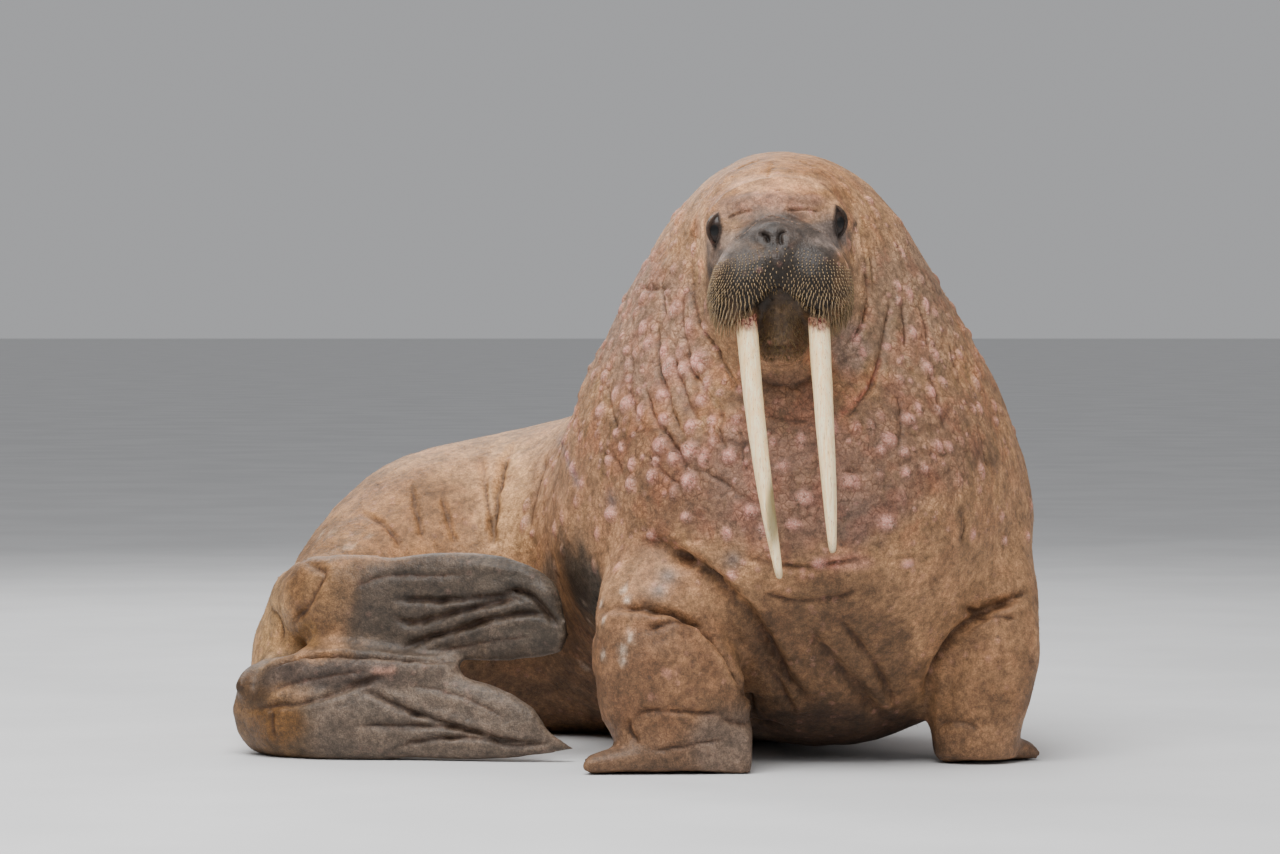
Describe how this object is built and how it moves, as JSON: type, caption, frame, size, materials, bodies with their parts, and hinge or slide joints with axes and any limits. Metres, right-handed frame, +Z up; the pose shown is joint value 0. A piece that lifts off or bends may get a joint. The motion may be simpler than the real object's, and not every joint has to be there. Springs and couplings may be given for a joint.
{
  "type": "walrus",
  "caption": "Life-size bull walrus sitting up on its foreflippers, head to the front, hindquarters curled round to one side with both hind flippers turned forward.",
  "frame": {"origin": "middle of the bounding box's footprint, on the floor", "axes": "+Z up; the head looks along -Y; the animal's left side is at +X and its hindquarters lie at -X"},
  "size_m": [1.6224, 1.574, 1.2129],
  "materials": {
    "hide": "dry wrinkled hide with short hair, tan to orange-brown, mottled on the chest",
    "muzzle": "dark grey muzzle set with straw-coloured bristles",
    "flipper": "bare, pleated grey-brown skin",
    "ivory": "satin ivory, yellowed, with fine lengthwise cracks",
    "eye": "glossy dark eye"
  },
  "bodies": {
    "root": {"head": "hide", "muzzle_right": "muzzle", "muzzle_left": "muzzle", "jaw": "hide", "eye_right": "eye", "eye_left": "eye", "tusk_right": "ivory", "tusk_left": "ivory", "neck": "hide", "chest": "hide", "back": "hide", "loin": "hide", "rump": "hide", "tail": "flipper", "forearm_right": "hide", "forearm_left": "hide", "hand_right": "flipper", "hand_left": "flipper", "ankle_right": "flipper", "ankle_left": "flipper", "foot_right": "flipper", "foot_left": "flipper"}
  },
  "joints": []
}
